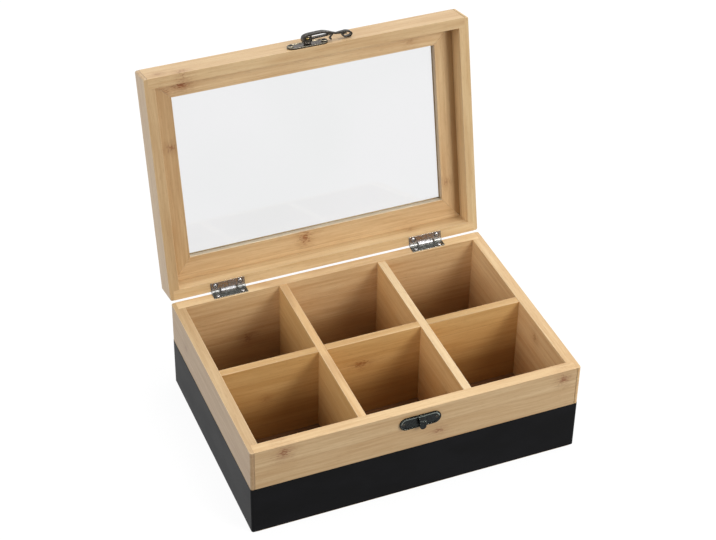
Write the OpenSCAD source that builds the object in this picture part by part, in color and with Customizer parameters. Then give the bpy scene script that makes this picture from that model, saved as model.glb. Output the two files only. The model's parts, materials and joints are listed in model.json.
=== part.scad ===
// Tea bag organizer box: six compartments, a glazed lid on two butt hinges and a swivelling hook clasp.
// The origin is the centre of the box's underside. +Z is up, the clasp faces -Y and the hinges are at +Y.
// The lid stands open, resting on the stop of its hinges, and the hook lies along the lid's front edge.

/* [Box] */
// Width of the box, left to right
box_w = 240; // [190:1:320]
// Depth of the box, front to back
box_d = 167; // [130:1:240]
// Height of the box body without its lid
box_h = 71.5; // [56:0.5:110]
// Thickness of the four walls
wall_t = 8; // [7:0.5:11]
// Radius of the upright outer edges of the box and lid
corner_r = 1.5; // [1:0.25:2.75]
// Width of the lip on the side boards that covers the ends of the front and back boards
lip_t = 3; // [3:0.25:4]
// Thickness of the bottom panel
bottom_t = 4; // [3:0.5:6]
// Depth of the rebate in the walls that holds the bottom panel
rebate_d = 3; // [1.5:0.5:4]

/* [Finish] */
// Height of the black paint on the outside of the box
paint_h = 39; // [20:0.5:48]
// Thickness of the black paint
paint_t = 0.15; // [0.1:0.05:0.4]
// Height at which the paint starts, above the table
paint_foot = 0.4; // [0.2:0.1:2]

/* [Dividers] */
// Thickness of the dividers
divider_t = 6; // [4:0.5:8]
// Drop of the dividers' top edges below the rim
divider_drop = 0.5; // [0.5:0.5:20]
// Depth of the slots in the walls that hold the dividers' ends
dado_d = 2; // [1:0.25:3]

/* [Lid] */
// Height of the lid's rails
lid_h = 21.5; // [20:0.5:32]
// Thickness of the lid's rails
rail_t = 7.5; // [7:0.5:10]
// Depth of the recess under the window frame
recess_d = 14; // [8:0.5:14]
// Angle of the open lid from its closed position
open_angle = 102.4; // [95:0.1:115]

/* [Window] */
// Width of the left and right members of the window frame
window_side_w = 14; // [10:0.5:24]
// Width of the window frame's member at the hinges
window_back_w = 16.5; // [10:0.5:24]
// Width of the window frame's member at the clasp
window_front_w = 14; // [10:0.5:24]
// Thickness of the pane
pane_t = 1.8; // [1.5:0.1:2.2]
// Depth to which the pane enters the window frame
pane_grip = 3; // [2:0.5:5]
// Wood left outside the pane
pane_cover = 1; // [0.8:0.1:1.6]
// Play of the pane in its groove, on each side
pane_play = 0.1; // [0.05:0.05:0.3]

/* [Hinges] */
// Distance from the side of the box to the middle of a hinge
hinge_inset = 43; // [30:1:58]
// Length of a hinge along its pin
hinge_l = 25.5; // [20:0.5:32]
// Depth of a hinge leaf from the back of the box
leaf_d = 6.6; // [5.5:0.1:6.8]
// Thickness of a hinge leaf
leaf_t = 0.55; // [0.4:0.05:0.7]
// Gap between the closed lid and the box
lid_gap = 2; // [1.8:0.1:2.6]
// Distance of the hinge pin behind the back of the box
pin_offset = 0.1; // [0:0.1:0.6]
// Radius of the hinge barrel
barrel_r = 1.15; // [1:0.05:1.3]
// Radius of the hinge pin
pin_r = 0.55; // [0.4:0.05:0.65]
// Running clearance round the hinge pin
pin_play = 0.05; // [0.03:0.01:0.08]
// Gap between the knuckles of a hinge
knuckle_gap = 0.3; // [0.25:0.05:0.6]
// Length of the middle knuckle
knuckle_l = 12; // [8:0.5:14]
// Relief in the wood round a hinge barrel
barrel_relief = 0.3; // [0.3:0.1:0.8]
// Distance from a leaf's end to its nail
leaf_nail_inset = 3.4; // [2.4:0.1:4.4]
// Distance from the back of the box to a leaf's nail
leaf_nail_depth = 4.2; // [3.6:0.1:4.4]
// Radius of a hinge nail's shank
leaf_nail_r = 0.6; // [0.4:0.05:0.8]
// Length of a hinge nail in the wood
leaf_nail_l = 7; // [4:0.5:10]
// Radius of a hinge nail's head
leaf_head_r = 1.4; // [1.1:0.05:1.6]
// Height of a hinge nail's head
leaf_head_h = 0.3; // [0.2:0.05:0.3]

/* [Clasp] */
// Length of the clasp's plates
plate_l = 30; // [28:0.5:36]
// Height of the clasp's plates
plate_w = 10; // [9.6:0.1:11]
// Thickness of the clasp's plates
plate_t = 0.8; // [0.6:0.05:0.9]
// Width of the raised rim of a clasp plate
plate_rim_w = 0.9; // [0.5:0.1:1]
// Height of the raised rim of a clasp plate
plate_rim_h = 0.35; // [0.2:0.05:0.4]
// Distance from a clasp plate's end to its nail
plate_nail_inset = 2.6; // [2.4:0.1:3.4]
// Radius of a clasp nail's shank
plate_nail_r = 0.6; // [0.4:0.05:0.8]
// Length of a clasp nail in the wood
plate_nail_l = 5; // [3:0.5:6]
// Radius of a catch nail's head
plate_head_r = 1.2; // [1:0.05:1.4]
// Height of a catch nail's head
plate_head_h = 0.3; // [0.2:0.05:0.4]
// Radius of the domed stud at each end of the hook's plate
stud_r = 2.2; // [1.7:0.1:2.3]
// Height of a stud above the plate's rim
stud_h = 1.2; // [0.8:0.1:1.4]
// Radius of the neck under a stud
stud_neck_r = 1.4; // [1:0.1:1.5]
// Height of the hook's rivet above the lid's lower edge
hook_rise = 5.8; // [5.6:0.1:8]
// Distance of the catch plate's middle below the rim of the box
catch_drop = 9.4; // [8:0.1:12]
// Width of the catch's tongue
tongue_w = 4.7; // [4:0.1:4.8]
// Distance of the tongue's middle to the right of the plate's middle
tongue_shift = 0.9; // [0.7:0.05:1]
// Thickness of the catch's tongue
tongue_t = 0.9; // [0.7:0.05:1]
// Distance to which the tongue stands out from the wall
tongue_reach = 3.8; // [3.7:0.05:3.9]
// Height of the tongue's root above the plate's middle
tongue_root = 3.4; // [3.2:0.1:3.6]
// Height of the tongue's bend above the plate's middle
tongue_bend = 1.5; // [1.3:0.05:1.6]
// Distance of the tongue's free end below the plate's middle
tongue_drop = 5.4; // [4.6:0.1:5.6]
// Angle from upright of the hook when its claw is behind the tongue
latch_lean = 12; // [11.5:0.1:12.5]
// Thickness of the hook's strip
hook_t = 1.2; // [1:0.05:1.25]
// Width of the hook's arch
arch_w = 4.6; // [3.8:0.1:5]
// Height of the hook's arch above the wood
arch_h = 8.3; // [8:0.1:9]
// Distance from the rivet to the arch's highest point
arch_peak = 9.5; // [8:0.1:10.5]
// Distance from the rivet to the hook's neck
neck_u = 21.5; // [21:0.1:22]
// Width of the hook's neck
neck_w = 1.8; // [1.4:0.1:2.4]
// Distance from the rivet to the end of the hook's tail
hook_l = 33.4; // [32.6:0.1:35]
// Length of the hook's rolled tail
scroll_l = 8.9; // [8:0.1:9.2]
// Height of the hook's rolled tail
scroll_h = 5.1; // [4.9:0.1:5.4]
// Width of the rolled tail
tail_w = 3; // [2.4:0.1:3.6]
// Thickness of the strip at the end of the rolled tail
scroll_t = 0.8; // [0.6:0.05:0.9]
// Slope of the rolled tail towards the wood
scroll_tilt = 8; // [4:1:10]
// Thickness of the hook's arm
arm_t = 1; // [0.8:0.05:1.1]
// Width of the hook's arm
arm_w = 2.8; // [2:0.1:3.2]
// Thickness of the post between the hook's arm and arch
post_t = 0.9; // [0.7:0.05:1.1]
// Thickness of the claw that slides behind the tongue
claw_t = 1; // [0.8:0.05:1.05]
// Width of the leg that carries the claw
leg_w = 1.3; // [1:0.1:1.5]
// Distance to which the claw reaches past the middle of the hook
claw_reach = 2.6; // [2:0.1:3]
// Radius of the hook's eye
eye_r = 3.6; // [3.4:0.05:3.8]
// Thickness of the hook's eye
eye_h = 1.6; // [1.4:0.05:1.65]
// Radius of the boss on the plate that carries the hook's eye
boss_r = 2.6; // [2.2:0.1:3]
// Height of the boss
boss_h = 1.85; // [1.7:0.05:1.9]
// Radius of the rivet's shank
rivet_r = 1.2; // [0.9:0.05:1.3]
// Radius of the rivet's head
rivet_head_r = 2; // [1.8:0.05:2.05]
// Height of the rivet's head
rivet_head_h = 0.9; // [0.7:0.05:0.95]
// Running clearance between the hook's eye and the rivet
rivet_play = 0.05; // [0.03:0.01:0.08]
// Clearance between the parts of the clasp
clasp_play = 0.35; // [0.3:0.05:0.35]

/* [Hidden] */
$fn = 48;

bamboo = [0.84, 0.69, 0.47];
bamboo_edge = [0.9, 0.76, 0.56];
bamboo_inside = [0.74, 0.57, 0.38];
black_paint = [0.12, 0.12, 0.12];
nickel = [0.78, 0.78, 0.78];
bronze = [0.26, 0.24, 0.2];
brass = [0.78, 0.66, 0.36];
clear_pane = [0.8, 0.88, 0.9, 0.35];

// A cut goes this far past the face that it opens
past = 1;

half_w = box_w / 2;
half_d = box_d / 2;
left = -1;
right = 1;
front = -1;
back = 1;

// Compartments: two cross dividers make three equal columns
inner_w = box_w - 2 * wall_t;
inner_d = box_d - 2 * wall_t;
divider_top = box_h - divider_drop;
divider_h = divider_top - bottom_t;
column_w = (inner_w - 2 * divider_t) / 3;
cross_x = (column_w + divider_t) / 2;

// Hinges
pin_y = half_d + pin_offset;
pin_z = box_h + lid_gap / 2;
hinge_x = half_w - hinge_inset;
outer_knuckle_l = (hinge_l - knuckle_l) / 2 - knuckle_gap;
leaf_clear_r = barrel_r + barrel_relief;

// Lid, as it lies closed
lid_z = box_h + lid_gap;
lid_top = lid_z + lid_h;
member_t = lid_h - recess_d;
member_z = lid_z + recess_d;
frame_w = box_w - 2 * rail_t;
frame_d = box_d - 2 * rail_t;
pane_w = frame_w - 2 * window_side_w + 2 * pane_grip;
pane_front_y = -frame_d / 2 + window_front_w - pane_grip;
pane_back_y = frame_d / 2 - window_back_w + pane_grip;
pane_z = lid_top - pane_cover - pane_play - pane_t;

// Clasp: n is the distance out from the wood, u the distance from the rivet along the hook
rivet_z = lid_z + hook_rise;
catch_z = box_h - catch_drop;
plate_nail_x = plate_l / 2 - plate_nail_inset;
rim_n = plate_t + plate_rim_h;
eye_n = plate_t + boss_h + clasp_play;
arm_n = eye_n + eye_h - arm_t / 2;
head_n = eye_n + eye_h + clasp_play;
tongue_n = tongue_reach - tongue_t / 2;
claw_n = rim_n + clasp_play + claw_t / 2;
claw_u = (rivet_z - catch_z - tongue_bend + clasp_play) / cos(latch_lean) + claw_t / 2;
leg_v = (tongue_shift + tongue_w / 2 + clasp_play - claw_u * sin(latch_lean)) / cos(latch_lean);
leg_slope = 0.9;
bridge_n = tongue_reach + clasp_play + hook_t / 2;
leg_top = claw_u + leg_slope * (bridge_n - claw_n);
arch_n = arch_h - hook_t / 2;
scroll_n = clasp_play + scroll_h / 2 + scroll_l / 2 * sin(scroll_tilt) / 4;
scroll_u = hook_l - scroll_l / 2;

// The rolled tail starts at the first angle, keeps its size up to the second, then shrinks to a share of it
curl_start = -30;
curl_turn = 195;
curl_end = 375;
curl_size = 0.2;

// Handles of the hook's curves, as [u, n] from the points where they start or end
foot_handle = [-1.1, 4.8];
peak_handle_in = [-10.5, -0.2];
peak_handle_out = [4.5, 0.2];
neck_handle_in = [-4, 1.1];
neck_handle_out = [1.2, 0];
curl_handle_in = [-2, -0.3];
arm_handle_out = [6.2, 0.9];
arm_handle_in = [-3.1, -1.4];

// Share of the arch's second curve at which the arm joins it, and where the arch starts to narrow in plan
arm_end = 0.7;
narrow_start = arch_peak + 2;
narrow_handle = 5;

// Point at t, from 0 to 1, of the cubic curve with the control points k
function curve_point(k, t) =
    let (s = 1 - t)
    s * s * s * k[0] + 3 * s * s * t * k[1] + 3 * s * t * t * k[2] + t * t * t * k[3];

// Points of the curve, without its first one
function curve(k, steps = 10) = [for (i = [1:steps]) curve_point(k, i / steps)];

// Unit direction of a path at each of its points
function headings(path) = [
    for (i = [0:len(path) - 1])
        let (step = path[min(i + 1, len(path) - 1)] - path[max(i - 1, 0)]) step / norm(step)
];

// Outline of a strip that follows a path, with its thickness at each of the path's points
function strip_outline(path, thick) =
    let (
        last = len(path) - 1,
        dir = headings(path),
        half = [for (i = [0:last]) thick[i] / 2 * [-dir[i][1], dir[i][0]]]
    )
    concat([for (i = [0:last]) path[i] + half[i]], [for (i = [last:-1:0]) path[i] - half[i]]);

// Turns what is drawn closed into the lid's open position
module opened() {
    translate([0, pin_y, pin_z])
        rotate([-open_angle, 0, 0])
            translate([0, -pin_y, -pin_z])
                children();
}

// Places what is drawn on the XY plane, with Z outwards, on the front of the box at height z
module on_front(z) {
    translate([0, -half_d, z])
        rotate([90, 0, 0])
            children();
}

// Places what is drawn at X = 0 on both hinges
module at_hinges() {
    for (side = [left, right])
        translate([side * hinge_x, 0, 0])
            children();
}

// Outline of the box in plan, with its rounded corners, grown by a margin
module plan(margin) {
    square([box_w + 2 * margin, box_d - 2 * corner_r], center = true);
    square([box_w - 2 * corner_r, box_d + 2 * margin], center = true);
    for (side = [left, right], end = [front, back])
        translate([side * (half_w - corner_r), end * (half_d - corner_r)])
            circle(corner_r + margin);
}

// Side board of the box or lid: a board between the other two, and a lip that covers their ends
module side_board(side, thickness, height) {
    linear_extrude(height)
        intersection() {
            plan(0);
            scale([side, 1]) {
                translate([half_w - thickness, -half_d + thickness])
                    square([thickness, box_d - 2 * thickness]);
                translate([half_w - lip_t, -half_d])
                    square([lip_t, box_d]);
            }
        }
}

// Front or back board of the box or lid: fits between the lips of the side boards
module end_board(end, thickness, height) {
    translate([-half_w + lip_t, end == front ? -half_d : half_d - thickness, 0])
        cube([box_w - 2 * lip_t, thickness, height]);
}

// Bottom panel, flush with the underside, and the rebate round the inside of the walls that it fills
module bottom_board() {
    translate([-inner_w / 2 - rebate_d, -inner_d / 2 - rebate_d, 0])
        cube([inner_w + 2 * rebate_d, inner_d + 2 * rebate_d, bottom_t]);
}

// Board that runs from side to side between the compartments, its ends inside the walls
module long_board() {
    translate([-inner_w / 2 - dado_d, -divider_t / 2, bottom_t])
        cube([inner_w + 2 * dado_d, divider_t, divider_h]);
}

// Board that runs from front to back between the compartments, its ends inside the walls
module cross_board(side) {
    translate([side * cross_x - divider_t / 2, -inner_d / 2 - dado_d, bottom_t])
        cube([divider_t, inner_d + 2 * dado_d, divider_h]);
}

// Slots in the walls for the dividers' ends, closed below the rim
module divider_slots() {
    long_board();
    cross_board(left);
    cross_board(right);
}

// Space round the hinge barrels
module barrel_space() {
    at_hinges()
        translate([0, pin_y, pin_z])
            rotate([0, 90, 0])
                cylinder(h = hinge_l + 2 * barrel_relief, r = leaf_clear_r, center = true);
}

// Nails of one hinge leaf, driven along -Z from the plane z = 0
module leaf_nails(shank_only = false) {
    for (side = [left, right])
        translate([side * (hinge_l / 2 - leaf_nail_inset), half_d - leaf_nail_depth, 0]) {
            translate([0, 0, -leaf_nail_l])
                cylinder(h = leaf_nail_l + leaf_t, r = leaf_nail_r);
            if (!shank_only)
                translate([0, 0, leaf_t])
                    cylinder(h = leaf_head_h, r1 = leaf_head_r, r2 = leaf_nail_r);
        }
}

// Nails of one clasp plate, driven along -Z from the plane z = 0
module plate_nails(shank_only = false) {
    for (side = [left, right])
        translate([side * plate_nail_x, 0, 0]) {
            translate([0, 0, -plate_nail_l])
                cylinder(h = plate_nail_l + plate_t, r = plate_nail_r);
            if (!shank_only)
                translate([0, 0, plate_t])
                    cylinder(h = plate_head_h, r1 = plate_head_r, r2 = plate_nail_r);
        }
}

// Studs of the hook's plate: nails with a neck that fills the plate's hollow and a domed head on its rim
module plate_studs() {
    plate_nails(true);
    for (side = [left, right])
        translate([side * plate_nail_x, 0, plate_t]) {
            cylinder(h = plate_rim_h, r = stud_neck_r);
            translate([0, 0, plate_rim_h])
                cylinder(h = stud_h / 2, r = stud_r);
            translate([0, 0, plate_rim_h + stud_h / 2])
                cylinder(h = stud_h / 2, r1 = stud_r, r2 = stud_r / 2);
        }
}

// Turns a leaf or its nails over, from the box's rim to the lid's lower edge
module on_lid_edge() {
    translate([0, 0, 2 * pin_z])
        scale([1, 1, -1])
            children();
}

module front_wall() {
    color(bamboo)
        difference() {
            end_board(front, wall_t, box_h);
            bottom_board();
            divider_slots();
            on_front(catch_z)
                plate_nails(true);
        }
}

module back_wall() {
    color(bamboo)
        difference() {
            end_board(back, wall_t, box_h);
            bottom_board();
            divider_slots();
            barrel_space();
            at_hinges()
                translate([0, 0, box_h])
                    leaf_nails(true);
        }
}

module side_wall(side) {
    color(bamboo)
        difference() {
            side_board(side, wall_t, box_h);
            bottom_board();
            divider_slots();
        }
}

module bottom_panel() {
    color(bamboo_inside)
        bottom_board();
}

module black_band() {
    color(black_paint)
        translate([0, 0, paint_foot])
            linear_extrude(paint_h - paint_foot)
                difference() {
                    plan(paint_t);
                    plan(0);
                }
}

// Notched from above where the cross dividers pass
module long_divider() {
    color(bamboo_inside)
        difference() {
            long_board();
            for (side = [left, right])
                translate([side * cross_x, 0, divider_top])
                    cube([divider_t, divider_t + 2 * past, divider_h], center = true);
        }
}

// Notched from below where the long divider passes
module cross_divider(side) {
    color(bamboo_inside)
        difference() {
            cross_board(side);
            translate([side * cross_x, 0, bottom_t])
                cube([divider_t + 2 * past, divider_t, divider_h], center = true);
        }
}

// Leaf that lies on the box's rim, with its knuckles: two outer ones, or one in the middle
module hinge_leaf(middle) {
    reach = pin_y - half_d + leaf_d;
    spans = middle
        ? [[-knuckle_l / 2, knuckle_l / 2]]
        : [[-hinge_l / 2, -hinge_l / 2 + outer_knuckle_l], [hinge_l / 2 - outer_knuckle_l, hinge_l / 2]];
    difference() {
        union() {
            difference() {
                translate([-hinge_l / 2, pin_y - reach, box_h])
                    cube([hinge_l, reach, leaf_t]);
                translate([0, pin_y, pin_z])
                    rotate([0, 90, 0])
                        cylinder(h = hinge_l + 2 * past, r = leaf_clear_r, center = true);
            }
            for (span = spans) {
                translate([span[0], pin_y - leaf_clear_r - past, box_h])
                    cube([span[1] - span[0], leaf_clear_r + past, leaf_t]);
                translate([span[0], pin_y, pin_z])
                    rotate([0, 90, 0])
                        cylinder(h = span[1] - span[0], r = barrel_r);
            }
        }
        translate([0, pin_y, pin_z])
            rotate([0, 90, 0])
                cylinder(h = hinge_l + 2 * past, r = pin_r + (middle ? pin_play : 0), center = true);
        translate([0, 0, box_h])
            leaf_nails(true);
    }
}

module hinge_box_leaf(side) {
    color(nickel)
        translate([side * hinge_x, 0, 0])
            hinge_leaf(false);
}

module hinge_lid_leaf(side) {
    color(nickel)
        opened()
            translate([side * hinge_x, 0, 0])
                on_lid_edge()
                    hinge_leaf(true);
}

module hinge_pin(side) {
    color(nickel)
        translate([side * hinge_x, pin_y, pin_z])
            rotate([0, 90, 0])
                cylinder(h = hinge_l, r = pin_r, center = true);
}

module box_hinge_nails() {
    color(nickel)
        at_hinges()
            translate([0, 0, box_h])
                leaf_nails();
}

module lid_hinge_nails() {
    color(nickel)
        opened()
            at_hinges()
                on_lid_edge()
                    translate([0, 0, box_h])
                        leaf_nails();
}

// Clasp plate with round ends and a raised rim, drawn with Z outwards
module clasp_plate() {
    difference() {
        linear_extrude(rim_n)
            plate_plan(plate_w / 2);
        translate([0, 0, plate_t])
            linear_extrude(rim_n)
                plate_plan(plate_w / 2 - plate_rim_w);
        plate_nails(true);
    }
}

// Outline of a clasp plate, drawn round the centres of its two ends
module plate_plan(end_r) {
    between = plate_l - plate_w;
    square([between, 2 * end_r], center = true);
    for (side = [left, right])
        translate([side * between / 2, 0])
            circle(end_r);
}

// Extrudes an outline drawn as [across, n], along the plate's length
module along_plate(width) {
    rotate([90, 0, 90])
        translate([0, 0, -width / 2])
            linear_extrude(width)
                children();
}

// Tongue of the catch: slopes out of the plate, turns down and hangs free with a round end
module catch_tongue() {
    straight = tongue_bend + tongue_drop - tongue_w / 2;
    path = [[tongue_root, plate_t / 2], [tongue_bend, tongue_n], [tongue_bend - tongue_t, tongue_n]];
    translate([tongue_shift, 0, 0]) {
        along_plate(tongue_w)
            polygon(strip_outline(path, [for (p = path) tongue_t]));
        translate([0, 0, tongue_n - tongue_t / 2])
            linear_extrude(tongue_t) {
                translate([-tongue_w / 2, tongue_w / 2 - tongue_drop])
                    square([tongue_w, straight - tongue_t / 2]);
                translate([0, tongue_w / 2 - tongue_drop])
                    circle(tongue_w / 2);
            }
    }
}

module catch_plate() {
    color(bronze)
        on_front(catch_z) {
            clasp_plate();
            catch_tongue();
        }
}

module catch_nails() {
    color(bronze)
        on_front(catch_z)
            plate_nails();
}

module lid_front_rail() {
    color(bamboo)
        opened()
            difference() {
                translate([0, 0, lid_z])
                    end_board(front, rail_t, lid_h);
                on_front(rivet_z)
                    plate_nails(true);
            }
}

module lid_back_rail() {
    color(bamboo)
        opened()
            difference() {
                translate([0, 0, lid_z])
                    end_board(back, rail_t, lid_h);
                barrel_space();
                at_hinges()
                    on_lid_edge()
                        translate([0, 0, box_h])
                            leaf_nails(true);
            }
}

module lid_side_rail(side) {
    color(bamboo)
        opened()
            translate([0, 0, lid_z])
                side_board(side, rail_t, lid_h);
}

// Pane with its play, as the groove that holds it
module pane_space(play) {
    translate([-pane_w / 2 - play, pane_front_y - play, pane_z - play])
        cube([pane_w + 2 * play, pane_back_y - pane_front_y + 2 * play, pane_t + 2 * play]);
}

// Member of the window frame, given its four corners in plan, outer ones first
module window_member(corners) {
    color(bamboo_edge)
        opened()
            difference() {
                translate([0, 0, member_z])
                    linear_extrude(member_t)
                        polygon(corners);
                pane_space(pane_play);
            }
}

// Outer and inner corner of the window frame at one side and end
function frame_corner(side, end) = [side * frame_w / 2, end * frame_d / 2];
function window_corner(side, end) = [
    side * (frame_w / 2 - window_side_w),
    end * (frame_d / 2 - (end == front ? window_front_w : window_back_w))
];

module window_end_member(end) {
    window_member([
        frame_corner(left, end), frame_corner(right, end), window_corner(right, end), window_corner(left, end)
    ]);
}

module window_side_member(side) {
    window_member([
        frame_corner(side, front), frame_corner(side, back), window_corner(side, back), window_corner(side, front)
    ]);
}

module window_pane() {
    color(clear_pane)
        opened()
            pane_space(0);
}

// Plate on the lid, with the boss that carries the hook's eye
module hook_plate() {
    color(bronze)
        opened()
            on_front(rivet_z)
                difference() {
                    union() {
                        clasp_plate();
                        cylinder(h = plate_t + boss_h, r = boss_r);
                    }
                    translate([0, 0, -past])
                        cylinder(h = plate_t + boss_h + 2 * past, r = rivet_r);
                }
}

module hook_plate_nails() {
    color(bronze)
        opened()
            on_front(rivet_z)
                plate_studs();
}

// Rivet: its shank is fast in the plate's boss and its head keeps the hook on
module hook_rivet() {
    color(brass)
        opened()
            on_front(rivet_z) {
                cylinder(h = head_n, r = rivet_r);
                translate([0, 0, head_n])
                    cylinder(h = rivet_head_h / 2, r = rivet_head_r);
                translate([0, 0, head_n + rivet_head_h / 2])
                    cylinder(h = rivet_head_h / 2, r1 = rivet_head_r, r2 = rivet_r);
            }
}

// Centre line of the rolled tail, drawn as [u, n]: once round and then inwards
function tail_point(turn) =
    let (
        size = turn < curl_turn ? 1 : 1 - (1 - curl_size) * (turn - curl_turn) / (curl_end - curl_turn),
        along = size * (scroll_l - hook_t) / 2 * sin(turn),
        up = size * (scroll_h - hook_t) / 2 * cos(turn)
    )
    [
        scroll_u + along * cos(scroll_tilt) + up * sin(scroll_tilt),
        scroll_n + up * cos(scroll_tilt) - along * sin(scroll_tilt)
    ];

// Ends and handles of the hook's curves: up from the eye to the peak, down to the neck, and on to the tail
arch_foot = [hook_t / 2 - eye_r, eye_n];
peak = [arch_peak, arch_n];
neck = [neck_u, bridge_n];
curl = tail_point(curl_start);
rise_curve = [arch_foot, arch_foot + foot_handle, peak + peak_handle_in, peak];
fall_curve = [peak, peak + peak_handle_out, neck + neck_handle_in, neck];
neck_curve = [neck, neck + neck_handle_out, curl + curl_handle_in, curl];

// Arch, neck and rolled tail, which is thinner towards its end
module hook_strip() {
    arch = concat([arch_foot], curve(rise_curve), curve(fall_curve), curve(neck_curve, 6));
    turns = [curl_start + 15:15:curl_end];
    path = concat(arch, [for (turn = turns) tail_point(turn)]);
    thick = concat(
        [for (p = arch) hook_t],
        [for (turn = turns) hook_t - (hook_t - scroll_t) * max(turn, 0) / curl_end]
    );
    polygon(strip_outline(path, thick));
}

// Outline in plan of the arch, neck and tail, drawn as [u, v]: wide arch, slender neck and wider tail
module hook_plan() {
    tail_start = scroll_u - scroll_l / 2;
    edge = concat(
        [[-eye_r - past, arch_w / 2], [narrow_start, arch_w / 2]],
        curve([
            [narrow_start, arch_w / 2], [narrow_start + narrow_handle, arch_w / 2],
            [leg_top, neck_w / 2], [neck_u, neck_w / 2]
        ]),
        curve([
            [neck_u, neck_w / 2], [(neck_u + tail_start) / 2, neck_w / 2],
            [(neck_u + tail_start) / 2, tail_w / 2], [tail_start, tail_w / 2]
        ]),
        [[hook_l + past, tail_w / 2]]
    );
    last = len(edge) - 1;
    polygon(concat(edge, [for (i = [last:-1:0]) [edge[i][0], -edge[i][1]]]));
}

// Arm that runs from the eye to the underside of the arch
module hook_arm() {
    start = [eye_r / 2, arm_n];
    end = curve_point(fall_curve, arm_end) - [0, hook_t / 4];
    path = concat([start], curve([start, start + arm_handle_out, end + arm_handle_in, end]));
    polygon(strip_outline(path, [for (p = path) arm_t]));
}

// Extrudes an outline drawn as [u, n] sideways, from v to v + width
module sideways(v, width) {
    rotate([90, 0, 0])
        translate([0, 0, -v - width])
            linear_extrude(width)
                children();
}

// Leg that leaves the strip beside the tongue and slopes back, and claw that runs from it behind the tongue
module leg_and_claw() {
    path = [[leg_top, bridge_n], [claw_u, claw_n]];
    sideways(leg_v, leg_w)
        polygon(strip_outline(path, [claw_t, claw_t]));
    translate([claw_u, 0, claw_n - claw_t / 2])
        linear_extrude(claw_t) {
            translate([-claw_t / 2, claw_t / 2 - claw_reach])
                square([claw_t, claw_reach - claw_t / 2 + leg_v + leg_w]);
            translate([0, claw_t / 2 - claw_reach])
                circle(claw_t / 2);
        }
}

module hook_body() {
    difference() {
        union() {
            translate([0, 0, eye_n])
                cylinder(h = eye_h, r = eye_r);
            intersection() {
                sideways(-arch_w / 2, arch_w)
                    hook_strip();
                linear_extrude(arch_h + past)
                    hook_plan();
            }
            sideways(-arm_w / 2, arm_w) {
                hook_arm();
                translate([rivet_head_r + clasp_play, arm_n])
                    square([post_t, arch_n - arm_n - hook_t / 4]);
            }
            leg_and_claw();
        }
        translate([0, 0, eye_n - past])
            cylinder(h = eye_h + 2 * past, r = rivet_r + rivet_play);
    }
}

module hook() {
    color(bronze)
        opened()
            on_front(rivet_z)
                hook_body();
}

front_wall();
back_wall();
side_wall(left);  // left_wall
side_wall(right);  // right_wall
bottom_panel();
black_band();
long_divider();
cross_divider(left);  // left_cross_divider
cross_divider(right);  // right_cross_divider
hinge_box_leaf(left);  // left_hinge_box_leaf
hinge_box_leaf(right);  // right_hinge_box_leaf
hinge_pin(left);  // left_hinge_pin
hinge_pin(right);  // right_hinge_pin
box_hinge_nails();
catch_plate();
catch_nails();
lid_front_rail();
lid_back_rail();
lid_side_rail(left);  // lid_left_rail
lid_side_rail(right);  // lid_right_rail
window_end_member(front);  // window_front_member
window_end_member(back);  // window_back_member
window_side_member(left);  // window_left_member
window_side_member(right);  // window_right_member
window_pane();
hinge_lid_leaf(left);  // left_hinge_lid_leaf
hinge_lid_leaf(right);  // right_hinge_lid_leaf
lid_hinge_nails();
hook_plate();
hook_plate_nails();
hook_rivet();
hook();
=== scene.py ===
import json
import math
import bmesh
import bpy
from mathutils import Matrix, Vector

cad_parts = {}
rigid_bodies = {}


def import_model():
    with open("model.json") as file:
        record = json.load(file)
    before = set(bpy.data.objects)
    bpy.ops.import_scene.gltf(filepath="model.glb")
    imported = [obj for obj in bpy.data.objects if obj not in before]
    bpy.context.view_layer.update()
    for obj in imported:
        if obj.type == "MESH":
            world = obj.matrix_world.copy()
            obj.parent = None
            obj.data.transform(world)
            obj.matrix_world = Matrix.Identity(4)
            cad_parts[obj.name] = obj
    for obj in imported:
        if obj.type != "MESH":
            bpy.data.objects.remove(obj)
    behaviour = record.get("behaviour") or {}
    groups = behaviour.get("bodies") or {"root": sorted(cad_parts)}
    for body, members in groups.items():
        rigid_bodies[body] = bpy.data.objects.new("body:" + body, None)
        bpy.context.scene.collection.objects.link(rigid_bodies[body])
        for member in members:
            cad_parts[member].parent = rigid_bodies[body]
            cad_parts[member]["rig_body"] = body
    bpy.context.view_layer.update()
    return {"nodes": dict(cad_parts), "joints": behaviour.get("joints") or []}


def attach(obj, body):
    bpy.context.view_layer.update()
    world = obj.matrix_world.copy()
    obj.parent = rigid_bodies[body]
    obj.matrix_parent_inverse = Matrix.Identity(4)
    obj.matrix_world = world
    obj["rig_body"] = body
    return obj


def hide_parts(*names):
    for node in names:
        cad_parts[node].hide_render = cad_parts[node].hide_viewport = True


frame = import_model()
scene = bpy.context.scene
scene.view_settings.view_transform = "Standard"
print("Frame loaded with", len(frame["nodes"]), "nodes")


def tint(red, green, blue):
    # a colour as read off a screen, 0 to 255, to the light values that shaders use
    levels = [value / 255 for value in (red, green, blue)]
    return [v / 12.92 if v <= 0.04045 else ((v + 0.055) / 1.055) ** 2.4 for v in levels] + [1.0]


def addNode(tree, kind, links=None, **options):
    node = tree.nodes.new(kind)
    node.location = (180 * len(tree.nodes), 0)
    for option, value in options.items():
        setattr(node, option, value)
    for socket, value in (links or {}).items():
        if isinstance(value, bpy.types.NodeSocket):
            tree.links.new(value, node.inputs[socket])
        else:
            node.inputs[socket].default_value = value
    return node


def calc(tree, operation, *values, clamp=False):
    node = addNode(tree, "ShaderNodeMath", dict(enumerate(values)), operation=operation, use_clamp=clamp)
    return node.outputs[0]


def inMillimetres(tree, place):
    return addNode(tree, "ShaderNodeVectorMath", {0: place, 3: 1000.0}, operation="SCALE").outputs[0]


def awayFrom(tree, value, place):
    return calc(tree, "ABSOLUTE", calc(tree, "SUBTRACT", value, place))


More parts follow.
